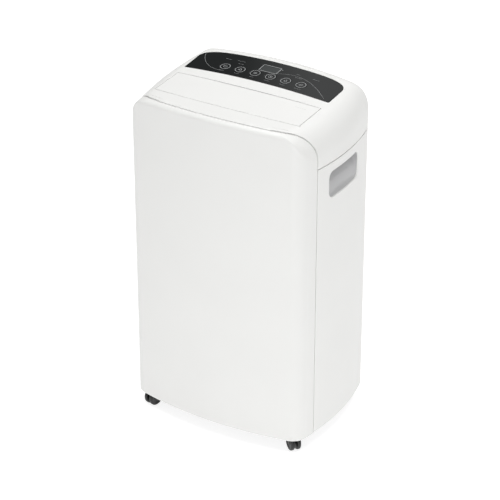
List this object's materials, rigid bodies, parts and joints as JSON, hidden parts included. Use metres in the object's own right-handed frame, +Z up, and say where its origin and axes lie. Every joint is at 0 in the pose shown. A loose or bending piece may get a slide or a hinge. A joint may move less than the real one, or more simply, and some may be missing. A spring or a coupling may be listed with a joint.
{
  "type": "dehumidifier",
  "caption": "Portable compressor dehumidifier with a hinged top outlet lid, dark key panel, side carrying recesses, rear water tank and swivelling casters.",
  "frame": {"origin": "on the floor, at the centre of the cabinet's plan box", "axes": "+Z up, +X to the right as seen from the front, and the front panel faces -Y"},
  "size_m": [0.3498, 0.2572, 0.6064],
  "materials": {
    "white_shell": "fine satin texture, white",
    "white_inner": "moulded, off white",
    "cup_grey": "moulded, light grey",
    "lens_black": "gloss black with pale printed marks",
    "window_smoke": "smoked, see-through",
    "tank_smoke": "smoked, translucent",
    "rubber": "matt black",
    "caster_black": "black nylon",
    "board_green": "solder resist",
    "steel": "zinc plated",
    "black_steel": "black paint",
    "copper": "drawn copper tube",
    "aluminium": "bare",
    "filter_grey": "dark mesh and foam",
    "abs_black": "black moulding"
  },
  "bodies": {
    "cabinet": {"accumulator": "black_steel", "air_shroud": "white_inner", "base_pan": "abs_black", "blower_housing": "abs_black", "capillary_line": "copper", "compressor": "black_steel", "compressor_grommet_1": "rubber", "compressor_grommet_2": "rubber", "compressor_grommet_3": "rubber", "condenser": "aluminium", "control_box": "white_inner", "control_box_lid": "white_inner", "control_lens": "lens_black", "cord_gland": "abs_black", "discharge_line": "copper", "display_board": "board_green", "display_window": "window_smoke", "drip_tray": "white_inner", "evaporator": "aluminium", "fan_motor": "steel", "filter_drier": "copper", "front_panel": "white_shell", "handle_cup_left": "cup_grey", "handle_cup_right": "cup_grey", "humidity_sensor": "abs_black", "inner_frame": "white_inner", "level_switch": "abs_black", "liquid_line": "copper", "main_board": "board_green", "outlet_duct": "white_inner", "outlet_grille": "abs_black", "rear_casing": "white_shell", "run_capacitor": "aluminium", "suction_line": "copper", "terminal_cover": "abs_black", "top_cover": "white_shell"},
    "outlet_flap": {"outlet_flap": "white_shell"},
    "filter_cassette": {"filter_grille": "white_shell", "air_filter": "filter_grey"},
    "tank": {"water_tank": "tank_smoke", "tank_lid": "tank_smoke", "level_window": "window_smoke"},
    "tank_float": {"tank_float": "filter_grey"},
    "drain_plug": {"drain_plug": "rubber"},
    "blower": {"blower_wheel": "abs_black"},
    "key_1": {"key_1": "lens_black"},
    "key_2": {"key_2": "lens_black"},
    "key_3": {"key_3": "lens_black"},
    "key_4": {"key_4": "lens_black"},
    "key_5": {"key_5": "lens_black"},
    "key_6": {"key_6": "lens_black"},
    "fork_front_left": {"caster_fork_front_left": "caster_black"},
    "wheel_front_left": {"caster_wheel_front_left": "caster_black"},
    "fork_front_right": {"caster_fork_front_right": "caster_black"},
    "wheel_front_right": {"caster_wheel_front_right": "caster_black"},
    "fork_rear_left": {"caster_fork_rear_left": "caster_black"},
    "wheel_rear_left": {"caster_wheel_rear_left": "caster_black"},
    "fork_rear_right": {"caster_fork_rear_right": "caster_black"},
    "wheel_rear_right": {"caster_wheel_rear_right": "caster_black"}
  },
  "joints": [
    {"name": "flap_hinge", "type": "hinge", "parent": "cabinet", "child": "outlet_flap", "pos_m": [0, -0.0125, 0.5894], "axis": [-1, 0, 0], "range_deg": [0, 75]},
    {"name": "filter_slide", "type": "slide", "parent": "cabinet", "child": "filter_cassette", "axis": [0, 1, 0], "range_m": [0, 0.08]},
    {"name": "tank_slide", "type": "slide", "parent": "cabinet", "child": "tank", "axis": [0, 1, 0], "range_m": [0, 0.16]},
    {"name": "float_hinge", "type": "hinge", "parent": "tank", "child": "tank_float", "pos_m": [0.1, 0.04, 0.272], "axis": [1, 0, 0], "range_deg": [0, 8]},
    {"name": "drain_plug_slide", "type": "slide", "parent": "cabinet", "child": "drain_plug", "axis": [0, 1, 0], "range_m": [0, 0.02]},
    {"name": "blower_spin", "type": "hinge", "parent": "cabinet", "child": "blower", "pos_m": [-0.012, 0.024, 0.402], "axis": [0, 1, 0], "continuous": true},
    {"name": "key_1_press", "type": "slide", "parent": "cabinet", "child": "key_1", "axis": [0, 0, -1], "range_m": [0, 0.0008], "stiffness_N_per_m": 800},
    {"name": "key_2_press", "type": "slide", "parent": "cabinet", "child": "key_2", "axis": [0, 0, -1], "range_m": [0, 0.0008], "stiffness_N_per_m": 800},
    {"name": "key_3_press", "type": "slide", "parent": "cabinet", "child": "key_3", "axis": [0, 0, -1], "range_m": [0, 0.0008], "stiffness_N_per_m": 800},
    {"name": "key_4_press", "type": "slide", "parent": "cabinet", "child": "key_4", "axis": [0, 0, -1], "range_m": [0, 0.0008], "stiffness_N_per_m": 800},
    {"name": "key_5_press", "type": "slide", "parent": "cabinet", "child": "key_5", "axis": [0, 0, -1], "range_m": [0, 0.0008], "stiffness_N_per_m": 800},
    {"name": "key_6_press", "type": "slide", "parent": "cabinet", "child": "key_6", "axis": [0, 0, -1], "range_m": [0, 0.0008], "stiffness_N_per_m": 800},
    {"name": "swivel_front_left", "type": "hinge", "parent": "cabinet", "child": "fork_front_left", "pos_m": [-0.134, -0.084, 0.038], "axis": [0, 0, 1], "continuous": true},
    {"name": "roll_front_left", "type": "hinge", "parent": "fork_front_left", "child": "wheel_front_left", "pos_m": [-0.13608, -0.09582, 0.015], "axis": [0.9848, -0.1736, 0], "continuous": true},
    {"name": "swivel_front_right", "type": "hinge", "parent": "cabinet", "child": "fork_front_right", "pos_m": [0.134, -0.084, 0.038], "axis": [0, 0, 1], "continuous": true},
    {"name": "roll_front_right", "type": "hinge", "parent": "fork_front_right", "child": "wheel_front_right", "pos_m": [0.14346, -0.09139, 0.015], "axis": [0.6157, 0.788, 0], "continuous": true},
    {"name": "swivel_rear_left", "type": "hinge", "parent": "cabinet", "child": "fork_rear_left", "pos_m": [-0.134, 0.086, 0.038], "axis": [0, 0, 1], "continuous": true},
    {"name": "roll_rear_left", "type": "hinge", "parent": "fork_rear_left", "child": "wheel_rear_left", "pos_m": [-0.134, 0.098, 0.015], "axis": [-1, 0, 0], "continuous": true},
    {"name": "swivel_rear_right", "type": "hinge", "parent": "cabinet", "child": "fork_rear_right", "pos_m": [0.134, 0.086, 0.038], "axis": [0, 0, 1], "continuous": true},
    {"name": "roll_rear_right", "type": "hinge", "parent": "fork_rear_right", "child": "wheel_rear_right", "pos_m": [0.134, 0.098, 0.015], "axis": [-1, 0, 0], "continuous": true}
  ]
}
